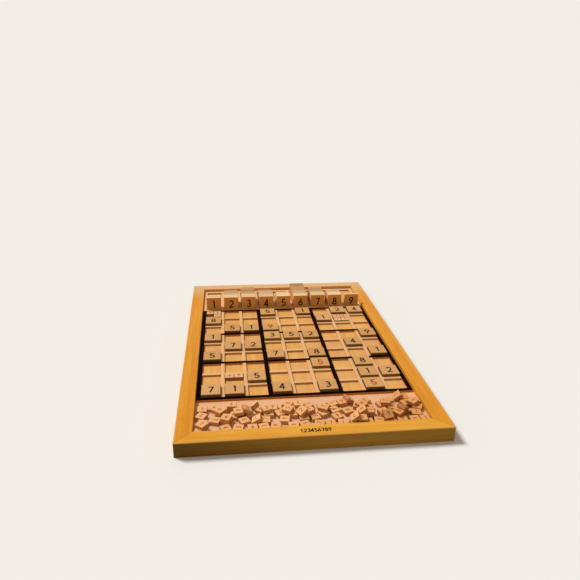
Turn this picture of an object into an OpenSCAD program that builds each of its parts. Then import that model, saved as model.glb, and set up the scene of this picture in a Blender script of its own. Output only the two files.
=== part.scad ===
// Wooden number puzzle board. A mitred frame holds a plywood floor with three zones: a tray for
// small note tiles in front, nine by nine cells in the middle, a nine slot tile rack at the back.
// Millimetres, +Z up, +Y towards the rack. The origin is under the middle of the frame, on the table.

/* [Tiles] */
// Side of a square number tile
tile_side = 18; // [14:0.5:24]
// Thickness of a number tile
tile_t = 5; // [4:0.5:9]
// Room on each side of a tile in its cell
tile_gap = 0.25; // [0.15:0.05:0.6]
// Chamfer on every edge of every tile
tile_chamfer = 0.5; // [0.2:0.1:1]
// Thickness of a small note tile, four of which fill a cell
mini_t = 3.5; // [3:0.5:6]
// Room round and between the four note tiles of a cell
mini_gap = 0.45; // [0.2:0.05:0.8]

/* [Lattice] */
// Width of a light strip between two cells
strip_w = 3.7; // [2.5:0.1:6]
// Width of a black strip between two blocks of nine cells
block_w = 4.3; // [2.5:0.1:8]
// Width of the black border round all cells
border_w = 4.3; // [2.5:0.1:8]
// Height of every strip above the floor
lattice_t = 2; // [1.5:0.5:4]
// Glue room on each side of a half lap, and at a butt joint
lap_gap = 0.1; // [0.05:0.05:0.3]
// Room between the lattice and the rails
lattice_gap = 0.3; // [0.1:0.1:0.8]

/* [Rack] */
// Width of the light strip in front of the rack slots
lip_w = 3.7; // [2.5:0.1:8]
// Number of standing tiles that a slot has room for
slot_tiles = 9; // [7:1:12]
// Spare length of a slot, to get a finger in
slot_spare = 12.5; // [2:0.5:16]
// Room between two standing tiles
stack_gap = 0.1; // [0.05:0.05:0.2]
// Width of the strip behind the rack slots
rack_back_w = 5.5; // [3:0.5:12]

/* [Tray] */
// Depth of the tray in front of the cells
tray_d = 51; // [46:1:90]
// Number of note tiles pushed together on the tray floor
heap_count = 80; // [10:1:90]
// Number of places tried for note tiles that lie on top of those
upper_tries = 360; // [0:1:600]
// Greatest turn of a note tile on the tray floor, in degrees
heap_turn = 45; // [5:1:45]
// Room between the note tiles of the heap
heap_gap = 0.2; // [0.1:0.05:0.5]
// Usual slope of a leaning note tile, in degrees
lean_angle = 36; // [34:1:55]
// Depth left free behind the heap
heap_clear = 6.5; // [5:0.5:20]

/* [Frame] */
// Width of a rail
rail_w = 15; // [12:0.5:24]
// Height of the rails above the lattice
rim_h = 3.5; // [2:0.5:8]
// Height of the rails below the floor panel
under_h = 5.5; // [3:0.5:10]
// Thickness of the floor panel
panel_t = 3; // [2.5:0.5:6]
// Depth of the groove that holds the panel
groove_d = 4; // [2:0.5:6]
// Room above and beyond the panel in its groove
groove_gap = 0.3; // [0.1:0.1:0.6]
// Rounding of the outer top edge of a rail
rail_round = 1; // [0.5:0.5:4]
// Rounding of the inner top edge of a rail
sight_round = 0.8; // [0.4:0.1:2]
// Rounding of the upright corners of the frame
corner_round = 1.5; // [1:0.5:6]

/* [Corner nails] */
// Length of each leg of a V nail
nail_leg = 6; // [4:0.5:9]
// Thickness of a V nail
nail_t = 0.8; // [0.5:0.1:1.5]
// Height of a V nail
nail_h = 8; // [5:0.5:10]
// Depth of a V nail below the underside of the frame
nail_sink = 0.4; // [0.2:0.1:1]

/* [Hidden] */
$fn = 48;
cut = 1;

// The tiles that lie in cells, one line per row from the back, a dot where a cell has none
givens = [
    "...5.1.24",
    "8.....1..",
    ".519.....",
    "1..352..9",
    ".72....4.",
    "5..7.8..1",
    ".....5.8.",
    "..5....12",
    "71.4.3.5."
];
// The cells that hold note tiles: row, column, and the quarters that are filled
noted = [
    [0, 0, [[-1, 1], [1, 1], [1, -1]]],
    [1, 7, [[-1, 1], [1, 1], [-1, -1], [1, -1]]],
    [7, 1, [[-1, 1], [1, 1]]]
];
// How many tiles stand in each rack slot
stacks = [2, 5, 7, 5, 3, 9, 6, 4, 1];

// Cells along a side, and cells along a side of a block; strip i lies between cells i and i + 1
cells = 9;
block = 3;
last_cell = cells - 1;
last_strip = cells - 2;
function parts_blocks(i) = i % block == block - 1;
light_strips = [for (i = [0:last_strip]) if (!parts_blocks(i)) i];
black_strips = [for (i = [0:last_strip]) if (parts_blocks(i)) i];

// Cells and strips, counted from the left and from the front
cell = tile_side + 2 * tile_gap;
function strip_width(i) = parts_blocks(i) ? block_w : strip_w;
function blocks_before_middle(c) = (cells / block - 1) / 2 - floor(c / block);
function cell_at(c) = (c - last_cell / 2) * (cell + strip_w) - blocks_before_middle(c) * (block_w - strip_w);
function strip_at(i) = (cell_at(i) + cell_at(i + 1)) / 2;
function row_at(r) = cell_at(last_cell - r);
grid_half = cell_at(last_cell) + cell / 2;
lattice_half = grid_half + border_w;
mini_side = (cell - 3 * mini_gap) / 2;

// Lengths from the front wall of the tray to the back wall of the rack
slot_l = slot_tiles * tile_t + slot_spare;
inner_w = 2 * (lattice_half + lattice_gap);
inner_l = tray_d + 2 * lattice_half + lip_w + slot_l + rack_back_w + lattice_gap;
tray_front_y = -inner_l / 2;
grid_y = tray_front_y + tray_d + lattice_half;
lip_y = grid_y + lattice_half;
slot_y = lip_y + lip_w;
rack_back_y = slot_y + slot_l;

// Heights
floor_z = under_h + panel_t;
frame_h = floor_z + lattice_t + rim_h;

// Fractions of one that follow from a count: evenly spread, and well mixed
golden = 0.618034;
function fraction(x) = x - floor(x);
function spread(k) = fraction(k * golden);
function shuffle(k) = fraction(k * k * golden);

// A place in plan is a turned rectangle: [x, y, turn, half width, half depth]
heap_back_y = tray_front_y + tray_d - heap_clear;
function mini_place(x, y, turn) = [x, y, turn, mini_side / 2, mini_side / 2];
// How far place p reaches from its middle in direction a
function reach(p, a) = p[3] * abs(cos(p[2] - a)) + p[4] * abs(sin(p[2] - a));
function distance_along(p, q, a) = abs((q[0] - p[0]) * cos(a) + (q[1] - p[1]) * sin(a));
function parted(p, q, a) = distance_along(p, q, a) >= reach(p, a) + reach(q, a) + heap_gap;
// Two turned rectangles are clear of each other when they are far apart, or a side of one parts them
function far_apart(p, q) = max(abs(p[0] - q[0]), abs(p[1] - q[1])) > p[3] + p[4] + q[3] + q[4];
function clear_pair(p, q) =
    far_apart(p, q) || parted(p, q, p[2]) || parted(p, q, p[2] + 90)
    || parted(p, q, q[2]) || parted(p, q, q[2] + 90);
function clear_of(p, places) = [for (q = places) if (!clear_pair(p, q)) q] == [];
function in_tray(p) =
    abs(p[0]) + reach(p, 0) <= inner_w / 2 - heap_gap
    && p[1] - reach(p, 90) >= tray_front_y + heap_gap
    && p[1] + reach(p, 90) <= heap_back_y;

// Note tiles on the floor: each starts at the front wall and is pushed back until it lies clear of those
// before it, then slides aside and forward until it meets one. It does so in a few places and stays where
// it came furthest forward. The first ones lie nearly straight along the wall.
push_step = 0.5;
push_tries = 4;
slide_steps = 24;
straight_share = 0.2;
heap_slant = 0.05;
function pushed(p, places) =
    p[1] > heap_back_y || clear_of(p, places) ? p
    : pushed(mini_place(p[0], p[1] + push_step, p[2]), places);
function slid(p, dx, dy, places, steps = slide_steps) =
    let (q = mini_place(p[0] + dx, p[1] + dy, p[2]))
    steps == 0 || !in_tray(q) || !clear_of(q, places) ? p : slid(q, dx, dy, places, steps - 1);
// Only tiles less than two sides away in x can be met
function settled(p, aside, places) =
    let (near = [for (q = places) if (abs(q[0] - p[0]) < slide_steps * push_step + 2 * mini_side) q],
         column = [for (q = near) if (abs(q[0] - p[0]) < 2 * mini_side) q])
    slid(slid(pushed(p, column), aside * push_step, 0, near), 0, -push_step, near);
function push_cost(p) = p[1] - heap_slant * p[0];
function floor_place(k, places) =
    let (turn = heap_turn * min(1, straight_share + k / heap_count) * (2 * shuffle(k) - 1),
         half = reach(mini_place(0, 0, turn), 0),
         room = inner_w / 2 - heap_gap - half,
         start_y = tray_front_y + heap_gap + half,
         tried = [for (i = [1:push_tries])
             let (start_x = room * (2 * spread(push_tries * k + i) - 1), aside = 1 - 2 * (i % 2))
             settled(mini_place(start_x, start_y, turn), aside, places)],
         least = min([for (p = tried) push_cost(p)]))
    [for (p = tried) if (push_cost(p) == least) p][0];
function floor_heap(k = 1, places = []) =
    k > heap_count ? places
    : let (p = floor_place(k, places)) floor_heap(k + 1, in_tray(p) ? concat(places, [p]) : places);

// Note tiles on top: a place is taken when it is free and the floor tiles carry three of its four feet
foot_share = 0.6;
least_feet = 3;
function over(x, y, p) =
    abs((x - p[0]) * cos(p[2]) + (y - p[1]) * sin(p[2])) <= p[3] - tile_chamfer
    && abs((y - p[1]) * cos(p[2]) - (x - p[0]) * sin(p[2])) <= p[4] - tile_chamfer;
function carried(x, y, places) = [for (p = places) if (over(x, y, p)) p] != [];
// The point at a share u of the half width and v of the half depth of place p
function point_x(p, u, v) = p[0] + u * p[3] * cos(p[2]) - v * p[4] * sin(p[2]);
function point_y(p, u, v) = p[1] + u * p[3] * sin(p[2]) + v * p[4] * cos(p[2]);
function feet_carried(p, places) =
    len([for (u = [-foot_share, foot_share], v = [-foot_share, foot_share])
        if (carried(point_x(p, u, v), point_y(p, u, v), places)) u]);
function upper_try(k) =
    mini_place(inner_w * (spread(k) - 0.5),
               tray_front_y + (tray_d - heap_clear) * shuffle(k + heap_count), 90 * shuffle(2 * k + 1));
function upper_heap(base, taken, k = 1, places = []) =
    k > upper_tries ? places
    : let (p = upper_try(k),
           free = in_tray(p) && clear_of(p, places) && clear_of(p, taken),
           fits = free && feet_carried(p, base) >= least_feet)
      upper_heap(base, taken, k + 1, fits ? concat(places, [p]) : places);

// Leaning note tiles: one edge stands on what lies below, the underside rests on the edge of a tile.
// A lean is the place that it covers in plan, then its slope and the middle of its lower edge.
lean_spread = 7;
sides = 4;
function lean_run(slope) = min(mini_t / tan(slope), mini_side * cos(slope));
function lean_on(p, side, slope) =
    let (turn = p[2] + 90 * side,
         depth = mini_side * cos(slope) + mini_t * sin(slope),
         foot = mini_side / 2 + lean_run(slope),
         middle = foot + mini_t * sin(slope) - depth / 2)
    [p[0] + middle * sin(turn), p[1] - middle * cos(turn), turn + 180, mini_side / 2, depth / 2,
     slope, p[0] + foot * sin(turn), p[1] - foot * cos(turn)];
function foot_carried(q, base) =
    let (u = foot_share * q[3] * cos(q[2]), v = foot_share * q[3] * sin(q[2]))
    base == [] || (carried(q[6] + u, q[7] + v, base) && carried(q[6] - u, q[7] - v, base));
// Leans on the tiles at places, clear of what is taken. They stand on base or, if it is empty, on the floor.
function leans(places, taken, base, k = 1, found = []) =
    k > sides * len(places) ? found
    : let (p = places[floor((k - 1) / sides)],
           q = lean_on(p, k % sides, lean_angle + lean_spread * (2 * shuffle(k) - 1)),
           near = concat([for (t = places) if (t != p) t], taken, found),
           fits = in_tray(q) && foot_carried(q, base) && clear_of(q, near))
      leans(places, taken, base, k + 1, fits ? concat(found, [q]) : found);

NODES = concat(
    ["front_rail", "back_rail", "left_rail", "right_rail", "base_panel", "v_nails"],
    ["light_strips_lengthwise", "light_strips_crosswise"],
    ["black_strips_lengthwise", "black_strips_crosswise", "black_border"],
    ["rack_lip", "rack_dividers", "rack_back_strip"],
    [for (r = [0:last_cell]) for (c = [0:last_cell]) if (givens[r][c] != ".") tile_name(r, c)],
    [for (c = [0:last_cell]) stack_name(c)],
    [for (n = noted) notes_name(n)],
    ["tray_minis_floor", "tray_minis_upper", "tray_minis_leaning"]
);
node = "all";

function tile_name(r, c) = str("tile_r", r + 1, "c", c + 1);
function stack_name(c) = str("rack_stack_", c + 1);
function notes_name(n) = str("minis_r", n[0] + 1, "c", n[1] + 1);
function drawn(name) = node == "all" || node == name;

// A rectangle about the origin with its corners cut at 45 degrees
module cut_corner_rect(w, h, c) {
    x = w / 2;
    y = h / 2;
    polygon([[-x + c, -y], [x - c, -y], [x, -y + c], [x, y - c],
             [x - c, y], [-x + c, y], [-x, y - c], [-x, -y + c]]);
}

// A sawn block with every edge chamfered, standing on z = 0
module eased_block(w, d, h) {
    translate([0, 0, h / 2])
        intersection() {
            linear_extrude(h, center = true) cut_corner_rect(w, d, tile_chamfer);
            rotate([90, 0, 0]) linear_extrude(d, center = true) cut_corner_rect(w, h, tile_chamfer);
            rotate([0, 90, 0]) linear_extrude(w, center = true) cut_corner_rect(h, d, tile_chamfer);
        }
}

// A rectangle about the origin with round corners
module round_corner_rect(w, h, r) {
    square([w - 2 * r, h], center = true);
    square([w, h - 2 * r], center = true);
    for (x = [-1, 1], y = [-1, 1])
        translate([x * (w / 2 - r), y * (h / 2 - r)]) circle(r);
}

// Section of a rail: x runs outwards from the inner wall, y is height
module rail_section() {
    difference() {
        union() {
            square([rail_w, frame_h - rail_round]);
            square([rail_w - rail_round, frame_h - sight_round]);
            translate([sight_round, 0]) square([rail_w - rail_round - sight_round, frame_h]);
            translate([sight_round, frame_h - sight_round]) circle(sight_round);
            translate([rail_w - rail_round, frame_h - rail_round]) circle(rail_round);
        }
        translate([-cut, under_h]) square([groove_d + cut, panel_t + groove_gap]);
    }
}

// The rail on the -Y side of a frame whose opening reaches half_span in X and reach in Y
module rail(reach, half_span) {
    difference() {
        intersection() {
            translate([0, -reach, 0])
                rotate([90, 0, -90])
                    linear_extrude(2 * (half_span + rail_w), center = true) rail_section();
            linear_extrude(frame_h)
                polygon([[-half_span, -reach], [half_span, -reach],
                         [half_span + rail_w, -reach - rail_w], [-half_span - rail_w, -reach - rail_w]]);
            linear_extrude(frame_h)
                round_corner_rect(2 * (half_span + rail_w), 2 * (reach + rail_w), corner_round);
        }
        for (side = [0, 1])
            mirror([side, 0, 0]) corner_nails(half_span, reach, 0, nail_sink + nail_h);
    }
}

// The two V nails of the corner at +X, -Y, one leg along each rail
module corner_nails(half_x, half_y, z, h) {
    for (i = [1, 2]) {
        u = groove_d + i * (rail_w - groove_d) / 3;
        translate([half_x + u, -half_y - u, z])
            linear_extrude(h) {
                translate([-nail_leg, -nail_t / 2]) square([nail_leg + nail_t / 2, nail_t]);
                translate([-nail_t / 2, -nail_t / 2]) square([nail_t, nail_leg + nail_t / 2]);
            }
    }
}

module front_rail() {
    color("#E5A545") rail(inner_l / 2, inner_w / 2);
}

module back_rail() {
    color("#E5A545") rotate([0, 0, 180]) rail(inner_l / 2, inner_w / 2);
}

module right_rail() {
    color("#E09A40") rotate([0, 0, 90]) rail(inner_w / 2, inner_l / 2);
}

module left_rail() {
    color("#E09A40") rotate([0, 0, -90]) rail(inner_w / 2, inner_l / 2);
}

// The floor, its edges in the grooves of the rails
module base_panel() {
    tongue = groove_d - groove_gap;
    color("#E6B47C")
        translate([0, 0, under_h + panel_t / 2])
            cube([inner_w + 2 * tongue, inner_l + 2 * tongue, panel_t], center = true);
}

// Steel V nails in the mitres, set a little above the underside
module v_nails() {
    color("silver")
        for (x = [0, 1], y = [0, 1])
            mirror([x, 0, 0]) mirror([0, y, 0])
                corner_nails(inner_w / 2, inner_l / 2, nail_sink, nail_h);
}

// At a crossing the lengthwise strip runs on top, except that a black strip runs over a light one
function lengthwise_on_top(i, j) = parts_blocks(i) || !parts_blocks(j);

// A strip between cells i and i + 1, half lapped with every strip that crosses it: notched from below
// where its entry in on_top is true, and from above where it isn't
module lattice_strip(i, on_top) {
    w = strip_width(i);
    difference() {
        translate([strip_at(i) - w / 2, -grid_half, 0]) cube([w, 2 * grid_half, lattice_t]);
        for (j = [0:last_strip]) {
            lap = strip_width(j) + 2 * lap_gap;
            translate([strip_at(i) - w / 2 - cut, strip_at(j) - lap / 2, on_top[j] ? -cut : lattice_t / 2])
                cube([w + 2 * cut, lap, lattice_t / 2 + cut]);
        }
    }
}

module strips_lengthwise(which) {
    translate([0, grid_y, floor_z])
        for (i = which)
            lattice_strip(i, [for (j = [0:last_strip]) lengthwise_on_top(i, j)]);
}

// Turning a strip crosswise puts the crossings in the opposite order, which is the same in a square grid
module strips_crosswise(which) {
    translate([0, grid_y, floor_z])
        for (i = which)
            rotate([0, 0, 90]) lattice_strip(i, [for (j = [0:last_strip]) !lengthwise_on_top(j, i)]);
}

module light_strips_lengthwise() {
    color("#F0BE86") strips_lengthwise(light_strips);
}

module light_strips_crosswise() {
    color("#F0BE86") strips_crosswise(light_strips);
}

module black_strips_lengthwise() {
    color("#1A0E0A") strips_lengthwise(black_strips);
}

module black_strips_crosswise() {
    color("#1A0E0A") strips_crosswise(black_strips);
}

// Four border strips: front and back at full width, the sides between them
module black_border() {
    color("#1A0E0A")
        translate([0, grid_y, floor_z])
            for (side = [-1, 1]) {
                translate([-lattice_half, side * (grid_half + border_w / 2) - border_w / 2, 0])
                    cube([2 * lattice_half, border_w, lattice_t]);
                translate([side * (grid_half + border_w / 2) - border_w / 2, lap_gap - grid_half, 0])
                    cube([border_w, 2 * (grid_half - lap_gap), lattice_t]);
            }
}

module rack_lip() {
    color("#F0BE86")
        translate([-lattice_half, lip_y, floor_z]) cube([2 * lattice_half, lip_w, lattice_t]);
}

// Dividers in line with the strips between the columns, and a slip along each side
module rack_dividers() {
    color("#F0BE86")
        translate([0, slot_y, floor_z]) {
            for (i = [0:last_strip])
                translate([strip_at(i) - strip_width(i) / 2, 0, 0])
                    cube([strip_width(i), slot_l, lattice_t]);
            for (side = [-1, 1])
                translate([side * (grid_half + border_w / 2) - border_w / 2, 0, 0])
                    cube([border_w, slot_l, lattice_t]);
        }
}

module rack_back_strip() {
    color("#F0BE86")
        translate([-lattice_half, rack_back_y, floor_z])
            cube([2 * lattice_half, rack_back_w, lattice_t]);
}

// A number tile lying in the cell of row r and column c
module number_tile(r, c) {
    color("#E8B06A")
        translate([cell_at(c), grid_y + row_at(r), floor_z])
            eased_block(tile_side, tile_side, tile_t);
}

// The tiles that stand in one rack slot, the first against the lip
module rack_stack(c) {
    color("#C88A48")
        for (k = [0:stacks[c] - 1])
            translate([cell_at(c), slot_y + tile_gap + tile_t / 2 + k * (tile_t + stack_gap), floor_z])
                eased_block(tile_side, tile_t, tile_side);
}

module mini() {
    eased_block(mini_side, mini_side, mini_t);
}

// The note tiles that lie in one cell, each in its quarter
module cell_minis(n) {
    step = (mini_side + mini_gap) / 2;
    color("#EFBE98")
        translate([cell_at(n[1]), grid_y + row_at(n[0]), floor_z])
            for (q = n[2])
                translate([q[0] * step, q[1] * step, 0]) mini();
}

module lying_minis(places, z) {
    for (p = places)
        translate([p[0], p[1], z]) rotate([0, 0, p[2]]) mini();
}

// Each stands on the chamfer of its lower edge, which is why it settles a little
module leaning_minis(found, z) {
    for (q = found)
        translate([q[6], q[7], z - tile_chamfer * min(sin(q[5]), cos(q[5]))])
            rotate([-q[5], 0, q[2]])
                translate([0, -mini_side / 2, 0]) mini();
}

module tray_minis_floor() {
    color("#EFBE98") lying_minis(floor_heap(), floor_z);
}

module tray_minis_upper() {
    lower = floor_heap();
    color("#F2C49E") lying_minis(upper_heap(lower, leans(lower, [], [])), floor_z + mini_t);
}

module tray_minis_leaning() {
    lower = floor_heap();
    on_lower = leans(lower, [], []);
    upper = upper_heap(lower, on_lower);
    color("#F2C49E") {
        leaning_minis(on_lower, floor_z);
        leaning_minis(leans(upper, on_lower, lower), floor_z + mini_t);
    }
}

if (drawn("front_rail")) front_rail();
if (drawn("back_rail")) back_rail();
if (drawn("left_rail")) left_rail();
if (drawn("right_rail")) right_rail();
if (drawn("base_panel")) base_panel();
if (drawn("v_nails")) v_nails();
if (drawn("light_strips_lengthwise")) light_strips_lengthwise();
if (drawn("light_strips_crosswise")) light_strips_crosswise();
if (drawn("black_strips_lengthwise")) black_strips_lengthwise();
if (drawn("black_strips_crosswise")) black_strips_crosswise();
if (drawn("black_border")) black_border();
if (drawn("rack_lip")) rack_lip();
if (drawn("rack_dividers")) rack_dividers();
if (drawn("rack_back_strip")) rack_back_strip();
for (r = [0:last_cell], c = [0:last_cell])
    if (givens[r][c] != "." && drawn(tile_name(r, c))) number_tile(r, c);
for (c = [0:last_cell])
    if (drawn(stack_name(c))) rack_stack(c);
for (n = noted)
    if (drawn(notes_name(n))) cell_minis(n);
if (drawn("tray_minis_floor")) tray_minis_floor();
if (drawn("tray_minis_upper")) tray_minis_upper();
if (drawn("tray_minis_leaning")) tray_minis_leaning();
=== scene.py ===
import math

import bpy
import numpy as np
from mathutils import Matrix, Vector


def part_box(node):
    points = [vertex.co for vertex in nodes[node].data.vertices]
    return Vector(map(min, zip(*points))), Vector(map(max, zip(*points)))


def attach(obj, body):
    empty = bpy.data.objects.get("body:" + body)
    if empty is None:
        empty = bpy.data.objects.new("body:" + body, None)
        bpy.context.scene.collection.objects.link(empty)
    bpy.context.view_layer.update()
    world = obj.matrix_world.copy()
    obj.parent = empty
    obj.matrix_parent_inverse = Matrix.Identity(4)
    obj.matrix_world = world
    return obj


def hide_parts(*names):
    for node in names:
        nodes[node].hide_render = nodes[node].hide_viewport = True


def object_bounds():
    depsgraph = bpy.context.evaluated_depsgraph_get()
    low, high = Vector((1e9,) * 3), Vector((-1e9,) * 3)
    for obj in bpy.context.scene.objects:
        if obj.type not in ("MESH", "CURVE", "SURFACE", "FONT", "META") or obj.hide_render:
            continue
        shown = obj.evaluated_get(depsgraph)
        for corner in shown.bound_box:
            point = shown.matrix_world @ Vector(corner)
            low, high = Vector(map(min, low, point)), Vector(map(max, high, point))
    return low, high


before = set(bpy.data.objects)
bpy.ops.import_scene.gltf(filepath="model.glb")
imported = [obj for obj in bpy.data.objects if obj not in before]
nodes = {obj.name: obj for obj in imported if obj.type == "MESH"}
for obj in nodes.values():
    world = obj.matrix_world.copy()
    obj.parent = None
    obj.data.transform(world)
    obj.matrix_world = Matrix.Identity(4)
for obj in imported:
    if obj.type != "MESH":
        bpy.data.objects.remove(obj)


# Frame rails
# Four lengths of pale hardwood, stained orange and brushed with satin lacquer, with rounded top edges.
# They are mitred and glued at the corners, and their inner faces are grooved for the base panel.

cad_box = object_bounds()


def linear(code):
    """sRGB hex code to linear light: c / 12.92 near black, ((c + 0.055) / 1.055) to the power 2.4 above."""
    srgb = np.array([int(code[at:at + 2], 16) for at in (1, 3, 5)]) / 255
    light = np.where(srgb <= 0.04045, srgb / 12.92, ((srgb + 0.055) / 1.055) ** 2.4)
    return (*light.tolist(), 1.0)


def wire(tree, node, inputs):
    """Links a socket, or sets a plain value, on each named input of a node."""
    sockets = {socket.identifier: socket for socket in node.inputs}
    for name, value in inputs.items():
        if isinstance(value, bpy.types.NodeSocket):
            tree.links.new(value, sockets[name])
        else:
            sockets[name].default_value = value


def add(tree, kind, settings, inputs, out=0):
    """Adds one shader node with its settings and inputs, and returns one of its outputs."""
    node = tree.nodes.new("ShaderNode" + kind)
    for name, value in settings.items():
        setattr(node, name, value)
    wire(tree, node, inputs)
    return node.outputs[out]


def new_finish(name):
    """A new material with shader nodes, and its node tree."""
    material = bpy.data.materials.new(name)
    material.use_nodes = True
    return material, material.node_tree


def dress(node, material):
    """Gives a CAD node one material in place of its own."""
    nodes[node].data.materials.clear()
    nodes[node].data.materials.append(material)


def grain_noise(tree, place, along, width, length, detail, distortion):
    """Noise drawn out along the grain: the place over width mm across it and over length mm along it."""
    scale = [1000 / width] * 3
    scale[along] = 1000 / length
    spot = add(tree, "Mapping", {}, {"Vector": place, "Scale": scale})
    return add(tree, "TexNoise", {},
               {"Vector": spot, "Scale": 1.0, "Detail": detail, "Distortion": distortion})


def side_share(tree, low, most=1.0):
    """How far a surface is a side and not a top: most where its normal's z is under low, none from 0.6 on."""
    facing = add(tree, "NewGeometry", {}, {}, "Normal")
    upward = add(tree, "SeparateXYZ", {}, {"Vector": facing}, "Z")
    return add(tree, "MapRange", {}, {"Value": upward, "From Min": low, "From Max": 0.6,
                                      "To Min": most, "To Max": 0.0})


def wood(name, along, early, late, fleck_colour, ring, streak, fleck, roughness, relief, attribute=None):
    """Sawn wood as three noises, each stretched along the grain to a real width and length in mm.
    Growth rings and streaks blend early wood into late wood and raise the surface by up to relief
    metres, and short dark flecks lie over them. Returns the material and its colour socket."""
    material, tree = new_finish(name)
    if attribute:
        place = add(tree, "Attribute", {"attribute_name": attribute}, {}, "Vector")
    else:
        place = add(tree, "TexCoord", {}, {}, "Object")
    rings, streaks, flecks = (grain_noise(tree, place, along, width, length, 3.0, 0.3)
                              for width, length in (ring, streak, fleck))
    figure = add(tree, "Mix", {}, {"Factor_Float": 0.5, "A_Float": rings, "B_Float": streaks})
    share = add(tree, "MapRange", {}, {"Value": figure, "From Min": 0.36, "From Max": 0.64})
    body = add(tree, "Mix", {"data_type": "RGBA"},
               {"Factor_Float": share, "A_Color": linear(early), "B_Color": linear(late)}, 2)
    speck = add(tree, "MapRange", {}, {"Value": flecks, "From Min": 0.6, "From Max": 0.72, "To Max": 0.7})
    colour = add(tree, "Mix", {"data_type": "RGBA"},
                 {"Factor_Float": speck, "A_Color": body, "B_Color": linear(fleck_colour)}, 2)
    sheen = add(tree, "MapRange", {},
                {"Value": streaks, "From Min": 0.3, "From Max": 0.7,
                 "To Min": roughness - 0.06, "To Max": roughness + 0.08})
    bump = add(tree, "Bump", {}, {"Strength": 0.6, "Distance": relief, "Height": figure})
    shader = tree.nodes["Principled BSDF"]
    wire(tree, shader, {"Base Color": colour, "Roughness": sheen, "Normal": bump, "IOR": 1.5,
                        "Specular IOR Level": 0.12})
    return material, colour


inner_half_w = float(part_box("right_rail")[0][0])
inner_half_l = float(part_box("back_rail")[0][1])
outer_half_w = float(cad_box[1][0])
outer_half_l = float(cad_box[1][1])
rail_top = float(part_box("front_rail")[1][2])
RAIL_GRAIN = {"front_rail": 0, "back_rail": 0, "left_rail": 1, "right_rail": 1}
# The back rail's colours are paler than the others' as a painted highlight
RAIL_COLOURS = {"front_rail": ("#F2B142", "#E09628"), "back_rail": ("#F5BE80", "#E4A662"),
                "left_rail": ("#EEA12A", "#DA8917"), "right_rail": ("#EEA12A", "#DA8917")}
MITRE_LINE = 0.00036            # how far to each side of a mitre the dark glue line fades out, in metres
GLUE_SHARE = 0.75               # share of the glue's colour in the middle of that line
BACK_HIGHLIGHT_SPAN = (0.05, 0.008)     # distances from the back edge over which the back rail's painted highlight comes in, in metres
SIDE_STREAK = (1.1, 70.0)       # width and length in mm of the streaks on the sawn sides
STREAK_SHARE = 0.75             # share of the streaks' colour where they are strongest
LEFT_END_DARKENING = 0.7               # share of the darker colour on the front face's left end, none from its middle on
WORN_EDGE = (0.0016, 0.00064)   # distances from the outer top edge where wear starts and is full, in metres
WORN_SHARE = 0.25               # share of the rubbed colour where the wear is full

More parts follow.
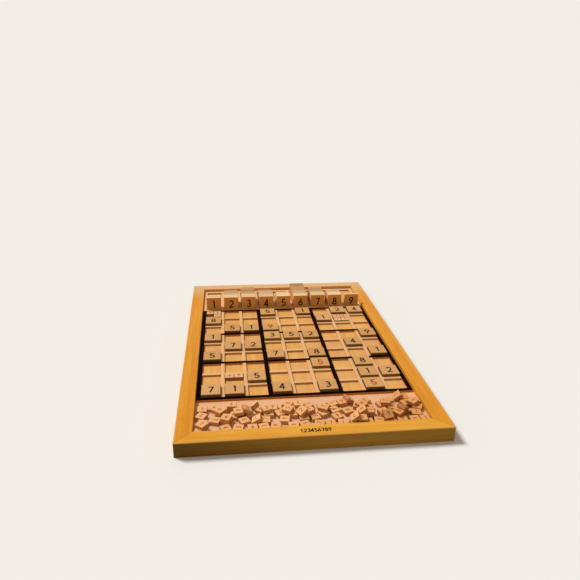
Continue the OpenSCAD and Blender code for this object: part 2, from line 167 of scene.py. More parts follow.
for rail, along in RAIL_GRAIN.items():
    early, late = RAIL_COLOURS[rail]
    # Stained rubberwood under satin lacquer: rings about 4 mm apart, pores drawn 0.4 mm wide to show
    material, stain = wood("stained_rubberwood_" + rail, along, early, late, "#B06A1E",
                           (4.0, 140.0), (0.9, 40.0), (0.4, 4.0), 0.42, 0.00004)
    tree = material.node_tree
    place = add(tree, "TexCoord", {}, {}, "Object")
    x, y, z = (add(tree, "SeparateXYZ", {}, {"Vector": place}, axis) for axis in "XYZ")
    out_x = add(tree, "Math", {"operation": "ABSOLUTE"}, {"Value": x})
    out_y = add(tree, "Math", {"operation": "ABSOLUTE"}, {"Value": y})
    # A mitre runs where |x| - |y| is what it is at the frame's inner corners
    lag = add(tree, "Math", {"operation": "SUBTRACT"}, {"Value": out_x, "Value_001": out_y})
    off = add(tree, "Math", {"operation": "SUBTRACT"},
              {"Value": lag, "Value_001": inner_half_w - inner_half_l})
    gap = add(tree, "Math", {"operation": "ABSOLUTE"}, {"Value": off})
    line = add(tree, "MapRange", {}, {"Value": gap, "From Min": 0.0, "From Max": MITRE_LINE,
                                      "To Min": GLUE_SHARE, "To Max": 0.0})
    # Towards the back the colour takes the hue of the back rail, whose paler colours are a painted highlight;
    # the grain stays
    back_highlight = add(tree, "MapRange", {"interpolation_type": "SMOOTHSTEP"},
                  {"Value": y, "From Min": outer_half_l - BACK_HIGHLIGHT_SPAN[0],
                   "From Max": outer_half_l - BACK_HIGHLIGHT_SPAN[1]})
    back_highlight_colour = linear(RAIL_COLOURS["back_rail"][0])
    stain = add(tree, "Mix", {"data_type": "RGBA", "blend_type": "COLOR"},
                {"Factor_Float": back_highlight, "A_Color": stain, "B_Color": back_highlight_colour}, 2)
    # The sawn sides took the stain unevenly, so they show long dull streaks that the planed top lacks
    streak = grain_noise(tree, place, along, *SIDE_STREAK, 4.0, 0.2)
    depth = add(tree, "MapRange", {}, {"Value": streak, "From Min": 0.4, "From Max": 0.62,
                                       "To Max": STREAK_SHARE})
    side = side_share(tree, 0.1)
    dark = add(tree, "Math", {"operation": "MULTIPLY"}, {"Value": depth, "Value_001": side})
    sawn = add(tree, "Mix", {"data_type": "RGBA"},
               {"Factor_Float": dark, "A_Color": stain, "B_Color": linear("#C89C4A")}, 2)
    if rail == "front_rail":
        # The front face is darker towards its left end
        left_darkening = add(tree, "MapRange", {}, {"Value": x, "From Min": -outer_half_w, "From Max": 0.0,
                                           "To Min": LEFT_END_DARKENING, "To Max": 0.0})
        left_darkening_side = add(tree, "Math", {"operation": "MULTIPLY"}, {"Value": left_darkening, "Value_001": side})
        sawn = add(tree, "Mix", {"data_type": "RGBA"},
                   {"Factor_Float": left_darkening_side, "A_Color": sawn, "B_Color": linear("#502E04")}, 2)
    # Handling rubs the stain thin along the outer top edge, which shows as a paler line
    past_x = add(tree, "Math", {"operation": "SUBTRACT"}, {"Value": out_x, "Value_001": outer_half_w})
    past_y = add(tree, "Math", {"operation": "SUBTRACT"}, {"Value": out_y, "Value_001": outer_half_l})
    outer = add(tree, "Math", {"operation": "MAXIMUM"}, {"Value": past_x, "Value_001": past_y})
    under = add(tree, "Math", {"operation": "SUBTRACT"}, {"Value": z, "Value_001": rail_top})
    near = add(tree, "Math", {"operation": "ADD"}, {"Value": outer, "Value_001": under})
    worn = add(tree, "MapRange", {}, {"Value": near, "From Min": -WORN_EDGE[0], "From Max": -WORN_EDGE[1],
                                      "To Max": WORN_SHARE})
    wear_and_sheen = add(tree, "Mix", {"data_type": "RGBA"},
                 {"Factor_Float": worn, "A_Color": sawn, "B_Color": linear("#F5C67E")}, 2)
    joined = add(tree, "Mix", {"data_type": "RGBA"},
                 {"Factor_Float": line, "A_Color": wear_and_sheen, "B_Color": linear("#5A3410")}, 2)
    wire(tree, tree.nodes["Principled BSDF"], {"Base Color": joined})
    dress(rail, material)


# Base panel
# One sheet of thin plywood with a rotary-cut face veneer, held in the grooves of all four rails.
# It is the floor of the cells, the tray and the rack, and is left unstained under thin lacquer.

tray_back = float(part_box("black_border")[0][1])
panel_under, panel_top = (float(corner[2]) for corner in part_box("base_panel"))
PATCH_WIDTH = 30.3              # width in mm of the patches in the lacquer
SHEEN_FADE = 0.004             # the painted sheen on the tray's floor fades out over this distance from the border, in metres
SHEEN_SHARE = 0.65             # share of the painted sheen's colour on the tray's floor

# Plywood veneer shows broad wavy figure, about 7 mm wide and 90 mm long, and few pores
material, veneer = wood("birch_plywood", 1, "#F3B969", "#E3A251", "#B87A40",
                        (7.0, 90.0), (1.0, 45.0), (0.4, 5.0), 0.5, 0.00003)
tree = material.node_tree
place = add(tree, "TexCoord", {}, {}, "Object")
# The veneer takes the lacquer unevenly, in pinker patches
patch = add(tree, "TexNoise", {}, {"Vector": place, "Scale": 1000 / PATCH_WIDTH, "Detail": 1.0})
share = add(tree, "MapRange", {}, {"Value": patch, "From Min": 0.45, "From Max": 0.7, "To Max": 0.5})
mottled = add(tree, "Mix", {"data_type": "RGBA"},
              {"Factor_Float": share, "A_Color": veneer, "B_Color": linear("#DCA06C")}, 2)
# The tray's floor is painted paler and pinker than the floor of the cells, as a painted reflection of the
# light
y, z = (add(tree, "SeparateXYZ", {}, {"Vector": place}, axis) for axis in "YZ")
in_tray = add(tree, "MapRange", {}, {"Value": y, "From Min": tray_back, "From Max": tray_back - SHEEN_FADE})
on_top = add(tree, "MapRange", {}, {"Value": z, "From Min": panel_under, "From Max": panel_top,
                                    "To Max": SHEEN_SHARE})
tray_sheen = add(tree, "Math", {"operation": "MULTIPLY"}, {"Value": in_tray, "Value_001": on_top})
wear_and_sheen = add(tree, "Mix", {"data_type": "RGBA"},
             {"Factor_Float": tray_sheen, "A_Color": mottled, "B_Color": linear("#F0BEA6")}, 2)
wire(tree, tree.nodes["Principled BSDF"], {"Base Color": wear_and_sheen})
dress("base_panel", material)


# V nails
# Eight bent strips of zinc-plated steel, stamped from sheet, two to a corner.
# They are pressed into the mitres from below and pull them tight while the glue sets.

SPANGLE_WIDTH = 1.43            # width in mm of the spangle, drawn coarse enough to show

# Zinc spangle only shifts the gloss and the grey a little
material, tree = new_finish("zinc_plated_steel")
place = add(tree, "TexCoord", {}, {}, "Object")
spangle = add(tree, "TexNoise", {}, {"Vector": place, "Scale": 1000 / SPANGLE_WIDTH, "Detail": 2.0})
grey = add(tree, "Mix", {"data_type": "RGBA"},
           {"Factor_Float": spangle, "A_Color": linear("#A4A7AA"), "B_Color": linear("#C3C5C6")}, 2)
dull = add(tree, "MapRange", {}, {"Value": spangle, "To Min": 0.28, "To Max": 0.5})
wire(tree, tree.nodes["Principled BSDF"], {"Base Color": grey, "Metallic": 1.0, "Roughness": dull})
dress("v_nails", material)


# Light strips, rack lip, dividers and back strip
# Planed strips of a pale, fine-grained hardwood, glued to the panel and half lapped where they cross.
# Their edges are broken with sandpaper, so each joint shows as a fine groove.

STRIP_EASE = 0.00025            # how far the sandpaper breaks an edge, in metres
MERGE_DISTANCE = 0.00001        # corners of the strips' triangles closer than this are one, in metres
SHARP_ANGLE = math.radians(40)  # edges that turn by more than this are broken
STRIP_SIDE_SHADE = 0.5          # share of the painted shade's colour on the strips' sides
STRIP_GRAIN = {"light_strips_lengthwise": 1, "light_strips_crosswise": 0, "rack_lip": 0,
               "rack_dividers": 1, "rack_back_strip": 0}


def ease_edges(strip, width):
    """Modifiers that merge a CAD strip's loose triangles and round its edges over that width, in metres."""
    weld = strip.modifiers.new("merged", "WELD")
    weld.merge_threshold = MERGE_DISTANCE
    bevel = strip.modifiers.new("sanded_edges", "BEVEL")
    bevel.width = width
    bevel.segments = 2
    bevel.limit_method = "ANGLE"
    bevel.angle_limit = SHARP_ANGLE


strip_woods = {}
for along in (0, 1):
    # Planed ramin: straight fine grain, streaks about 0.6 mm wide, almost no rings
    material, planed = wood("planed_ramin_" + "xy"[along], along, "#F3C18A", "#E7AF74", "#C4905A",
                            (2.5, 120.0), (0.6, 30.0), (0.3, 3.0), 0.48, 0.00003)
    # The strips' sides are painted darker than their tops, as shade on the sides
    tree = material.node_tree
    side = side_share(tree, 0.1, STRIP_SIDE_SHADE)
    colour = add(tree, "Mix", {"data_type": "RGBA"},
                 {"Factor_Float": side, "A_Color": planed, "B_Color": linear("#A8743C")}, 2)
    wire(tree, tree.nodes["Principled BSDF"], {"Base Color": colour})
    strip_woods[along] = material
for strip, along in STRIP_GRAIN.items():
    ease_edges(nodes[strip], STRIP_EASE)
    dress(strip, strip_woods[along])


# Black strips and border
# The same strips with their tops rolled with black stain, between the blocks of nine cells and round
# all 81. The roller left the sides bare, so they show red-brown wood under a thin edge of black.

STAIN_STREAK = (10 / 9, 25.0)   # width and length in mm of the streaks where the black is thin
BLACK_GRAIN = {"black_strips_lengthwise": 1, "black_strips_crosswise": 0, "black_border": 0}
black_woods = {}
for along in (0, 1):
    # Black stain over ramin: nearly matt, the grain shows as fine dark brown streaks through it
    material, bare = wood("black_topped_ramin_" + "xy"[along], along, "#D9955A", "#BE7A40", "#8A5426",
                          (2.5, 120.0), (0.6, 30.0), (0.3, 3.0), 0.5, 0.00003)
    tree = material.node_tree
    place = add(tree, "TexCoord", {}, {}, "Object")
    thin = grain_noise(tree, place, along, *STAIN_STREAK, 3.0, 0.0)
    stain = add(tree, "Mix", {"data_type": "RGBA"},
                {"Factor_Float": thin, "A_Color": linear("#080201"), "B_Color": linear("#150704")}, 2)
    side = side_share(tree, 0.25)
    colour = add(tree, "Mix", {"data_type": "RGBA"},
                 {"Factor_Float": side, "A_Color": stain, "B_Color": bare}, 2)
    wire(tree, tree.nodes["Principled BSDF"], {"Base Color": colour, "Specular IOR Level": 0.008})
    black_woods[along] = material
for strip, along in BLACK_GRAIN.items():
    ease_edges(nodes[strip], STRIP_EASE)
    dress(strip, black_woods[along])


# Number tiles in the cells
# Square blocks of pale hardwood, tumbled so that every edge is rounded, each with one printed numeral.
# They lie loose in the cells, and each lifts straight out.

def rounded_block(size, ease, turns):
    """A block with round edges. Each face is a grid of points q on the plain block, and every point
    goes to c + ease * unit(q - c), where c is q clamped to the block less ease on every side.
    turns are the grid's angles over half an edge. Returns points, outward directions and quads."""
    half = np.asarray(size) / 2
    reach = ease * np.tan(np.radians(turns))
    lines = [np.concatenate([-(h - ease) - reach[::-1], (h - ease) + reach]) for h in half]
    count = len(lines[0])
    grid = np.arange(count * count).reshape(count, count)
    quads = np.stack([grid[:-1, :-1], grid[1:, :-1], grid[1:, 1:], grid[:-1, 1:]], axis=-1).reshape(-1, 4)
    points, faces = [], []
    for axis in range(3):
        for side in (-1, 1):
            u, v = np.meshgrid(lines[(axis + 1) % 3], lines[(axis + 2) % 3], indexing="ij")
            q = np.empty((count, count, 3))
            q[..., axis] = side * half[axis]
            q[..., (axis + 1) % 3] = u
            q[..., (axis + 2) % 3] = v
            faces.append(quads[:, ::side] + len(points) * count * count)
            points.append(q.reshape(-1, 3))
    q = np.concatenate(points)
    core = np.clip(q, ease - half, half - ease)
    outward = (q - core) / np.linalg.norm(q - core, axis=1, keepdims=True)
    p = core + ease * outward
    _, first, shared = np.unique(np.round(p, 8), axis=0, return_index=True, return_inverse=True)
    return p[first], outward[first], shared.reshape(-1)[np.concatenate(faces)]


LARGE_SHARE = 0.6       # flat faces have triangles over this share of a tile's largest, chamfers smaller ones
SQUARE_COSINE = 0.1     # faces whose normals have a smaller cosine are square to each other


def seats(node, per_tile, face, right):
    """Where the tiles of a CAD node sit. A tile's middle is the mean of its triangles' middles, weighed
    by area. Its z is square to the broad face nearest to face, its x to the narrow one nearest to right.
    Returns middles and, for each tile, its x, y and z directions as rows."""
    mesh = nodes[node].data
    corners = np.empty(len(mesh.vertices) * 3)
    mesh.vertices.foreach_get("co", corners)
    index = np.empty(len(mesh.loops), dtype=int)
    mesh.loops.foreach_get("vertex_index", index)
    tri = corners.reshape(-1, 3)[index].reshape(-1, per_tile, 3, 3)
    push = np.cross(tri[:, :, 1] - tri[:, :, 0], tri[:, :, 2] - tri[:, :, 0])
    area = np.linalg.norm(push, axis=2)
    normal = push / area[..., None]
    middle = (tri.mean(axis=2) * area[..., None]).sum(axis=1) / area.sum(axis=1)[:, None]

    def largest_towards(areas, direction):
        """For each tile, the normal that points most along direction among its largest triangles."""
        large = areas > LARGE_SHARE * areas.max(axis=1, keepdims=True)
        pick = np.where(large, normal @ np.asarray(direction, float), -np.inf).argmax(axis=1)
        return normal[np.arange(len(tri)), pick]

    z = largest_towards(area, face)
    square_to_z = np.abs((normal * z[:, None, :]).sum(axis=2)) < SQUARE_COSINE
    x = largest_towards(np.where(square_to_z, area, 0), right)
    return middle, np.stack([x, np.cross(z, x), z], axis=1)


def make_piece(name, points, quads, material, body, outward=None, fields=None):
    """One mesh piece from arrays: points, quads, outward directions and named values for each point."""
    mesh = bpy.data.meshes.new(name)
    mesh.from_pydata(points.tolist(), [], quads.tolist())
    for field, values in (fields or {}).items():
        kind = "FLOAT_VECTOR" if values.ndim == 2 else "FLOAT"
        data = mesh.attributes.new(field, kind, "POINT").data
        data.foreach_set("vector" if values.ndim == 2 else "value", values.astype(np.float32).ravel())
    if outward is not None:
        mesh.polygons.foreach_set("use_smooth", np.ones(len(quads), dtype=bool))
        mesh.normals_split_custom_set_from_vertices(outward.tolist())
    mesh.materials.append(material)
    piece = bpy.data.objects.new(name, mesh)
    bpy.context.collection.objects.link(piece)
    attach(piece, body)
    return piece


def tile_piece(name, block, middle, axes, material, body, slot_name, chance, pale=None):
    """All the tiles of one body as a single piece: the same block at each seat, p = middle + block @ axes.
    Each tile takes its own stretch of grain and its own tone from chance, and where pale is given,
    its tone is a third of that draw and two thirds of its own value in pale, which paints shade by the tile's
    place."""
    points, outward, quads = block
    tiles = len(middle)
    placed = (middle[:, None, :] + points @ axes).reshape(-1, 3)
    facing = (outward @ axes).reshape(-1, 3)
    faces = (quads + len(points) * np.arange(tiles)[:, None, None]).reshape(-1, 4)
    start = chance.uniform(-1, 1, (tiles, 1, 3))
    tone = chance.uniform(0, 1, tiles)
    if pale is not None:
        tone = (tone + 2 * pale) / 3
    fields = {"grain": (points + start).reshape(-1, 3),
              "tone": np.repeat(tone, len(points)),
              "end": np.tile(np.abs(outward[:, 0]), tiles),
              "edge": np.tile(1 - np.abs(outward[:, 2]), tiles)}
    return make_piece(name, placed, faces, material, body, facing, fields)


TONE_SHARE = 0.45       # share of each tile's own tone in its colour
PAINTED_RIM_SHARE = 0.75        # share of the rim colour on its narrow sides, painted shade on lying tiles and painted highlight on standing ones
END_SHARE = 0.35        # share of the end grain's colour on its sawn ends; on the lying tiles it is darkened further as painted shade


def tile_wood(name, early, late, dark, pale, dark_rim, pale_rim, end_grain):
    """Tumbled, unlacquered hardwood blocks: fine straight grain across each tile, narrow sides towards the
    rim colours, in which light and shade are painted, end grain darker, and every tile a little paler or
    darker than the next."""
    material, sawn = wood(name, 0, early, late, "#A9703F", (3.0, 60.0), (0.7, 22.0), (0.35, 2.5),
                          0.55, 0.00003, "grain")
    tree = material.node_tree
    tone = add(tree, "Attribute", {"attribute_name": "tone"}, {}, "Fac")
    shift = add(tree, "Mix", {"data_type": "RGBA"},
                {"Factor_Float": tone, "A_Color": linear(dark), "B_Color": linear(pale)}, 2)
    toned = add(tree, "Mix", {"data_type": "RGBA"},
                {"Factor_Float": TONE_SHARE, "A_Color": sawn, "B_Color": shift}, 2)
    edge = add(tree, "Attribute", {"attribute_name": "edge"}, {}, "Fac")
    narrow = add(tree, "MapRange", {}, {"Value": edge, "From Min": 0.3, "From Max": 0.9, "To Max": PAINTED_RIM_SHARE})
    rim = add(tree, "Mix", {"data_type": "RGBA"},
              {"Factor_Float": tone, "A_Color": linear(dark_rim), "B_Color": linear(pale_rim)}, 2)
    sided = add(tree, "Mix", {"data_type": "RGBA"},
                {"Factor_Float": narrow, "A_Color": toned, "B_Color": rim}, 2)
    end = add(tree, "Attribute", {"attribute_name": "end"}, {}, "Fac")
    cut = add(tree, "MapRange", {}, {"Value": end, "From Min": 0.7, "From Max": 1.0, "To Max": END_SHARE})
    colour = add(tree, "Mix", {"data_type": "RGBA"},
                 {"Factor_Float": cut, "A_Color": sided, "B_Color": linear(end_grain)}, 2)
    wire(tree, tree.nodes["Principled BSDF"], {"Base Color": colour})
    return material


# Digits of the tiles in the cells, from the back row to the front one, with a dot for an empty cell
ROWS = ("...5.1.24", "8.....1..", ".519.....", "1..352..9", ".72....4.",
        "5..7.8..1", ".....5.8.", "..5....12", "71.4.3.5.")
UP, FRONT, RIGHT = (0, 0, 1), (0, -1, 0), (1, 0, 0)
tile_low, tile_high = (np.array(corner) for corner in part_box("tile_r1c4"))
TILE_SIZE = tile_high - tile_low
TILE_EASE = 0.0006      # rounding of a tumbled edge, in metres
chance = np.random.default_rng(81)
tile_block = rounded_block(TILE_SIZE, TILE_EASE, (0, 22.5, 45))
# Tumbled schima: pale tan faces, and sides painted much darker as shade
tile_material = tile_wood("tumbled_schima_tiles", "#E1AA6A", "#CE9457", "#CF9351", "#E6B376",
                          "#4E3114", "#64431F", "#42280F")
tile_triangles = len(nodes["tile_r1c4"].data.polygons)
cell_seats = {}
for row, digits in enumerate(ROWS, 1):
    for column, digit in enumerate(digits, 1):
        if digit == ".":
            continue
        cell = "r%dc%d" % (row, column)
        node = "tile_" + cell
        cell_seats[cell] = (int(digit), seats(node, tile_triangles, UP, RIGHT))
        tile = tile_piece("wood_" + node, tile_block, *cell_seats[cell][1], tile_material, node,
                          "tile_wood", chance)
        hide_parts(node)


# Numerals on the cell tiles
# Screen-printed ink, black for most and red for a few, in a plain bold round-bowled style.
# The ink lies on the wood as a low film that rounds over at its edges.

def arc(x, y, wide, tall, start, end, step):
    """Points of an ellipse arc round (x, y), from one angle to the other in degrees, about step apart."""
    turn = np.radians(np.linspace(start, end, max(2, int(abs(end - start) / step) + 1)))
    return np.stack([x + wide * np.cos(turn), y + tall * np.sin(turn)], axis=1)


def numeral(digit, step):
    """The middle lines of a numeral 1 high and about 0.62 wide, centred on x, as (path, closed) pairs.
    Each is straight lines and ellipse arcs, with the arcs' points step degrees apart."""
    if digit == 1:
        stem = np.array([(0.05, 0.0), (0.05, 1.0)])
        return [(stem, False), (np.array([(-0.12, 0.83), (0.04, 0.93)]), False)]
    if digit == 2:
        bow = arc(0, 0.68, 0.235, 0.245, 165, -42, step)
        return [(np.concatenate([bow, [(-0.2, 0.075), (0.27, 0.075)]]), False)]
    if digit == 3:
        upper = np.concatenate([arc(0, 0.715, 0.2, 0.21, 150, -90, step), [(-0.07, 0.505)]])
        lower = np.concatenate([[(-0.07, 0.505)], arc(0, 0.29, 0.235, 0.215, 90, -152, step)])
        return [(upper, False), (lower, False)]
    if digit == 4:
        slope = np.array([(0.11, 0.95), (-0.24, 0.28), (0.3, 0.28)])
        return [(np.array([(0.11, 0.0), (0.11, 1.0)]), False), (slope, False)]
    if digit == 5:
        flag = np.array([(0.23, 0.925), (-0.13, 0.925), (-0.185, 0.46)])
        return [(flag, False), (arc(-0.01, 0.315, 0.24, 0.24, 142, -152, step), False)]
    if digit == 6:
        stem = np.array([(0.12, 0.98), (-0.19, 0.42)])
        return [(stem, False), (arc(0, 0.3, 0.235, 0.225, 0, 360, step)[:-1], True)]
    if digit == 7:
        return [(np.array([(-0.26, 0.925), (0.22, 0.925), (-0.08, 0.0)]), False)]
    if digit == 8:
        upper = arc(0, 0.725, 0.185, 0.2, 0, 360, step)[:-1]
        return [(upper, True), (arc(0, 0.29, 0.235, 0.215, 0, 360, step)[:-1], True)]
    stem = np.array([(-0.12, 0.02), (0.19, 0.58)])
    return [(stem, False), (arc(0, 0.7, 0.235, 0.225, 0, 360, step)[:-1], True)]


def ink_stroke(path, closed, weight, height):
    """One stroke: a low closed profile carried along the path, mitred where the path turns.
    A point is path + offset * across, where offset is 2 (a + b) / |a + b|^2 of the two sides' normals.
    The path and weight are shares of the numeral's height. Returns points and quads."""
    ahead = np.roll(path, -1, axis=0) - path if closed else np.diff(path, axis=0)
    ahead = ahead / np.linalg.norm(ahead, axis=1, keepdims=True)
    left = np.stack([-ahead[:, 1], ahead[:, 0]], axis=1)
    before = np.roll(left, 1, axis=0) if closed else np.concatenate([left[:1], left])
    after = left if closed else np.concatenate([left, left[-1:]])
    both = before + after
    offset = 2 * both / (both ** 2).sum(axis=1, keepdims=True)
    across = np.array([1, 1, 0.8, -0.8, -1, -1]) * weight / 2
    lift = np.array([-INK_SINK, INK_RISE * 0.4, INK_RISE, INK_RISE, INK_RISE * 0.4, -INK_SINK])
    ring = len(across)
    flat = (path[:, None, :] - [0, 0.5] + offset[:, None, :] * across[None, :, None]) * height
    points = np.concatenate([flat, np.broadcast_to(lift[None, :, None], (len(path), ring, 1))], axis=2)
    grid = np.arange(len(path) * ring).reshape(-1, ring)
    here = grid if closed else grid[:-1]
    there = np.roll(grid, -1, axis=0) if closed else grid[1:]
    quads = np.stack([here, there, np.roll(there, -1, axis=1), np.roll(here, -1, axis=1)], axis=-1)
    quads = quads.reshape(-1, 4)
    if not closed:
        ends = np.array([grid[0, [0, 1, 2, 3]], grid[0, [0, 3, 4, 5]],
                         grid[-1, [3, 2, 1, 0]], grid[-1, [5, 4, 3, 0]]])
        quads = np.concatenate([quads, ends])
    return points.reshape(-1, 3), quads


def numeral_piece(name, digits, middles, axes, height, weight, step, material, body):
    """Numerals of one body as one piece: each lies on its face, p = middle + (x, y, lift) @ axes."""
    points, quads, used = [], [], 0
    for digit, middle, frame_axes in zip(digits, middles, axes):
        for path, closed in numeral(digit, step):
            stroke_points, stroke_quads = ink_stroke(path * (NUMERAL_NARROW, 1), closed, weight, height)
            points.append(middle + stroke_points @ frame_axes)
            quads.append(stroke_quads + used)
            used += len(stroke_points)
    return make_piece(name, np.concatenate(points), np.concatenate(quads), material, body)


def ink(name, solid, thin):
    """Screen ink on open grain: solid colour with thinner and duller patches."""
    material, tree = new_finish(name)
    place = add(tree, "TexCoord", {}, {}, "Object")
    patch = add(tree, "TexNoise", {}, {"Vector": place, "Scale": 1000 / INK_PATCH, "Detail": 3.0})
    share = add(tree, "MapRange", {}, {"Value": patch, "From Min": 0.5, "From Max": 0.8})
    colour = add(tree, "Mix", {"data_type": "RGBA"},
                 {"Factor_Float": share, "A_Color": linear(solid), "B_Color": linear(thin)}, 2)
    dull = add(tree, "MapRange", {}, {"Value": patch, "To Min": 0.4, "To Max": 0.6})
    wire(tree, tree.nodes["Principled BSDF"],
         {"Base Color": colour, "Roughness": dull, "IOR": 1.5, "Specular IOR Level": 0.1})
    return material


INK_SINK = 0.00005      # how far the film of ink goes into the wood and stands above it, in metres
INK_RISE = 0.00005
INK_PATCH = 0.5         # width in mm of the thin patches
NUMERAL_HEIGHT = 0.0101
NUMERAL_NARROW = 0.92   # width of the drawn numerals over that of the middle lines given above
NUMERAL_WEIGHT = 0.155  # width of a stroke, as a share of the numeral's height
NUMERAL_LOW = 0.0004    # the print sits this far below the middle of a tile, in metres
NUMERAL_STEP = 12       # degrees between the points of the round strokes
RED_CELLS = ("r3c4", "r7c6", "r9c8")
# Screen ink dries to a dull, almost even film
black_ink = ink("black_screen_ink", "#120907", "#281811")
red_ink = ink("red_screen_ink", "#B53A28", "#C25A40")
for cell, (digit, (middle, axes)) in cell_seats.items():
    face = middle + axes[:, 2] * TILE_SIZE[2] / 2 - axes[:, 1] * NUMERAL_LOW
    numeral_piece("numeral_" + cell, [digit], face, axes, NUMERAL_HEIGHT, NUMERAL_WEIGHT, NUMERAL_STEP,
                  red_ink if cell in RED_CELLS else black_ink, "tile_" + cell)


# Number tiles in the rack
# The same tiles standing on edge in nine slots, one digit to a slot, faces to the front.
# The front one shows its black numeral, and the back one its reverse, printed red.

def unshaded_share(places, shade_span):
    """How far tiles are out of the painted shade by their places on one axis: 1 before the first of the two
    places, 0 past the second, and a straight line in between."""
    return np.clip((shade_span[1] - places) / (shade_span[1] - shade_span[0]), 0, 1)


# The rack tiles are the same tiles in a copy of the material with light and shade painted in: broad faces
# oranger, as the shade on them looks, and narrow sides paler as a painted highlight
rack_material = tile_wood("tumbled_schima_rack", "#F9B25A", "#EA9C42", "#EC9A38", "#FCBC64",
                          "#7E5E38", "#FFE4BE", "#E0A868")
rack_front = float(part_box("rack_stack_1")[0][1])
# The tiles at the back of a stack are painted darker, as shade: y from which the painted shade starts, and
# where it is darkest
STACK_PAINTED_SHADE = (rack_front + 0.008, rack_front + 0.024)
for slot_number in range(1, 10):
    node = "rack_stack_%d" % slot_number
    middle, axes = seats(node, tile_triangles, FRONT, RIGHT)
    pale = unshaded_share(middle[:, 1], STACK_PAINTED_SHADE)
    stack = tile_piece("wood_" + node, tile_block, middle, axes, rack_material, node,
                       "tile_wood", chance, pale)
    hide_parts(node)
    first = middle[:, 1].argmin()
    last = middle[:, 1].argmax()
    front_face = middle[first] + axes[first, 2] * TILE_SIZE[2] / 2
    numeral_piece("numeral_front_%d" % slot_number, [slot_number], [front_face], [axes[first]],
                  NUMERAL_HEIGHT, NUMERAL_WEIGHT, NUMERAL_STEP, black_ink, node)
    # Turned half round its y, so that the numeral reads from behind
    turned = axes[last] * np.array([[-1], [1], [-1]])
    back_face = middle[last] + turned[2] * TILE_SIZE[2] / 2
    numeral_piece("numeral_back_%d" % slot_number, [slot_number], [back_face], [turned],
                  NUMERAL_HEIGHT, NUMERAL_WEIGHT, NUMERAL_STEP, red_ink, node)


# Note tiles
# Small square tiles, a quarter of a cell each, with one red numeral. Some lie in cells as notes,
# the rest lie in a loose heap in the front tray, a few of them on top of or leaning on others.

note_low, note_high = (np.array(corner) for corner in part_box("minis_r8c2"))
NOTE_SIZE = (note_high - note_low)[[1, 1, 2]]   # that node's tiles lie side by side along x, so y is one tile
NOTE_EASE = 0.0005      # rounding of a tumbled edge, in metres
NOTE_HEIGHT = 0.0043
NOTE_WEIGHT = 0.15      # width of a stroke, as a share of the numeral's height
NOTE_STEP = 24          # degrees between the points of the round strokes
NOTES = {"minis_r1c1": (3, 6, 9), "minis_r2c8": (3, 6, 7, 9), "minis_r8c2": (6, 9)}
HEAP = ("tray_minis_floor", "tray_minis_upper", "tray_minis_leaning")
note_block = rounded_block(NOTE_SIZE, NOTE_EASE, (0, 45))
# The notes in the cells have pale faces and sides painted dark as shade, as the large tiles have
note_material = tile_wood("tumbled_schima_notes", "#F2BA84", "#E5A66E", "#E4A46A", "#FACA98",
                          "#5E3C1A", "#7A5228", "#4E3012")
# The heap's tiles are paler and darker by chance, and painted darker towards the right as shade
HEAP_PAINTED_SHADE = (-0.03, 0.09)    # x from which the painted shade on the heap's tiles starts, and where it is darkest
heap_material = tile_wood("tumbled_schima_heap", "#F6B876", "#EAA45E", "#D08438", "#FFCC90",
                          "#A87038", "#D09A60", "#966434")
for node in (*NOTES, *HEAP):
    middle, axes = seats(node, tile_triangles, UP, RIGHT)
    in_heap = node in HEAP
    pale = unshaded_share(middle[:, 0], HEAP_PAINTED_SHADE) if in_heap else None
    notes = tile_piece("wood_" + node, note_block, middle, axes, heap_material if in_heap else note_material,
                       node, "mini_wood", chance, pale)
    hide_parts(node)
    digits = NOTES.get(node)
    if in_heap:
        # Each tile in the heap takes a chance digit, turned by chance to one of its four sides
        digits = chance.integers(1, 10, len(middle))
        turns = chance.integers(0, 4, len(middle)) * np.pi / 2
        x = axes[:, 0] * np.cos(turns)[:, None] + axes[:, 1] * np.sin(turns)[:, None]
        axes = np.stack([x, np.cross(axes[:, 2], x), axes[:, 2]], axis=1)
    faces = middle + axes[:, 2] * NOTE_SIZE[2] / 2
    numeral_piece("numerals_" + node, digits, faces, axes, NOTE_HEIGHT, NOTE_WEIGHT, NOTE_STEP, red_ink,
                  node)


# Numbers on the front rail
# A plain row of the nine digits, in the tiles' black screen ink but bolder and smaller.
# It is printed on the middle of the front rail's top, over the lacquer.

RAIL_NUMBERS = np.arange(1, 10)
RAIL_NUMBER_HEIGHT = 0.0048
RAIL_NUMBER_WEIGHT = 0.2        # width of a stroke, as a share of the numeral's height
RAIL_NUMBER_PITCH = 0.0030
RAIL_NUMBER_X = -0.0013         # x of the row's middle
spots = np.empty((len(RAIL_NUMBERS), 3))
spots[:, 0] = RAIL_NUMBER_X + RAIL_NUMBER_PITCH * (RAIL_NUMBERS - RAIL_NUMBERS.mean())
spots[:, 1] = -(outer_half_l + inner_half_l) / 2
spots[:, 2] = rail_top
numeral_piece("rail_numbers", RAIL_NUMBERS, spots, [np.eye(3)] * len(RAIL_NUMBERS), RAIL_NUMBER_HEIGHT,
              RAIL_NUMBER_WEIGHT, NOTE_STEP, black_ink, "board")


# Floor, world and light
# A plain pale floor and sky, one broad soft light from behind on the left, and dim fill.
# Floor and sky are pale to the eye and in reflections, and darker where they light the board.

def seen_directly(tree):
    """1 for a ray from the eye, straight, in a gloss or through glass, 0 for one that lights the board."""
    eye, gloss, through = (add(tree, "LightPath", {}, {}, ray)
                           for ray in ("Is Camera Ray", "Is Glossy Ray", "Is Transmission Ray"))
    seen = add(tree, "Math", {"operation": "MAXIMUM"}, {"Value": eye, "Value_001": gloss})
    return add(tree, "Math", {"operation": "MAXIMUM"}, {"Value": seen, "Value_001": through})


FLOOR_HALF = 6.0
scene = bpy.context.scene
scene.view_settings.view_transform = "Standard"
mesh = bpy.data.meshes.new("floor")
corners = np.array([(-1, -1, 0), (1, -1, 0), (1, 1, 0), (-1, 1, 0)]) * FLOOR_HALF
mesh.from_pydata(corners.tolist(), [], [(0, 1, 2, 3)])
floor = bpy.data.objects.new("floor", mesh)
bpy.context.collection.objects.link(floor)
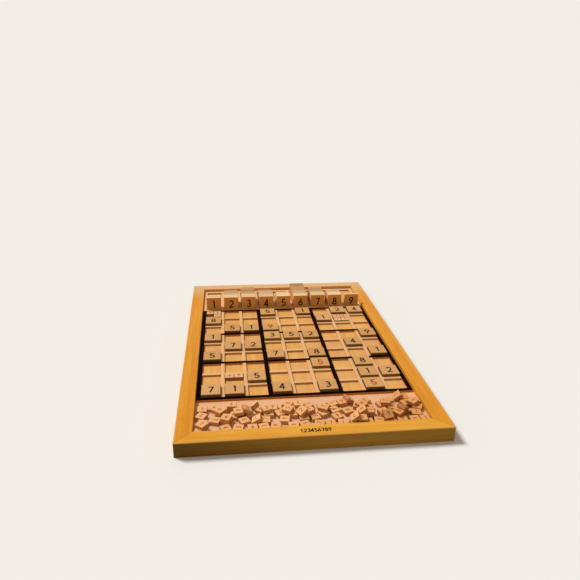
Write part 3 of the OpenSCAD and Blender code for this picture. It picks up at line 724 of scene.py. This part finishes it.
# Matt studio paper: no gloss at all, so that it stays one plain tone
material, tree = new_finish("pale_studio_paper")
seen = seen_directly(tree)
shade = add(tree, "Mix", {"data_type": "RGBA"},
            {"Factor_Float": seen, "A_Color": linear("#7C7A76"), "B_Color": linear("#F8F6F2")}, 2)
wire(tree, tree.nodes["Principled BSDF"], {"Base Color": shade, "Roughness": 0.9, "Specular IOR Level": 0.0})
mesh.materials.append(material)

world = bpy.data.worlds.new("studio")
scene.world = world
world.use_nodes = True
tree = world.node_tree
seen = seen_directly(tree)
sky = add(tree, "Mix", {"data_type": "RGBA"},
          {"Factor_Float": seen, "A_Color": linear("#99958E"), "B_Color": linear("#F2EEE7")}, 2)
wire(tree, tree.nodes["Background"], {"Color": sky, "Strength": 1.0})

KEY_FROM = (-0.5, 0.35, 0.79)   # direction from the board to the light
KEY_STRENGTH = 2.5
KEY_WIDTH = math.radians(18)    # how wide the light looks from the board
lamp = bpy.data.lights.new("broad_key", "SUN")
lamp.energy = KEY_STRENGTH
lamp.angle = KEY_WIDTH
key = bpy.data.objects.new("broad_key", lamp)
bpy.context.collection.objects.link(key)
from_direction = np.array(KEY_FROM) / np.linalg.norm(KEY_FROM)
side = np.cross((0.0, 0.0, 1.0), from_direction)
side = side / np.linalg.norm(side)
over = np.cross(from_direction, side)
key.matrix_world = Matrix(np.stack([side, over, from_direction], axis=1).tolist()).to_4x4()


# Camera
# It stands where the picture of the board was taken from, in front and a little to the left.
# Its lens angle and slight roll were fitted to the picture with its place.

CAMERA_PLACE = (-0.071047, -0.536356, 0.283657)
SENSOR_WIDTH = 36.0             # in mm, as is the lens
LENS = 33.147
CAMERA_TURN, CAMERA_DIP, CAMERA_ROLL = (math.radians(angle) for angle in (-7.106, 21.26, 1.093))
camera_data = bpy.data.cameras.new("camera")
camera_data.sensor_width = SENSOR_WIDTH
camera_data.lens = LENS
camera = bpy.data.objects.new("camera", camera_data)
bpy.context.collection.objects.link(camera)
camera.matrix_world = (Matrix.Translation(CAMERA_PLACE)
                       @ Matrix.Rotation(CAMERA_TURN, 4, "Z")
                       @ Matrix.Rotation(math.pi / 2 - CAMERA_DIP, 4, "X")
                       @ Matrix.Rotation(CAMERA_ROLL, 4, "Z"))
scene.camera = camera
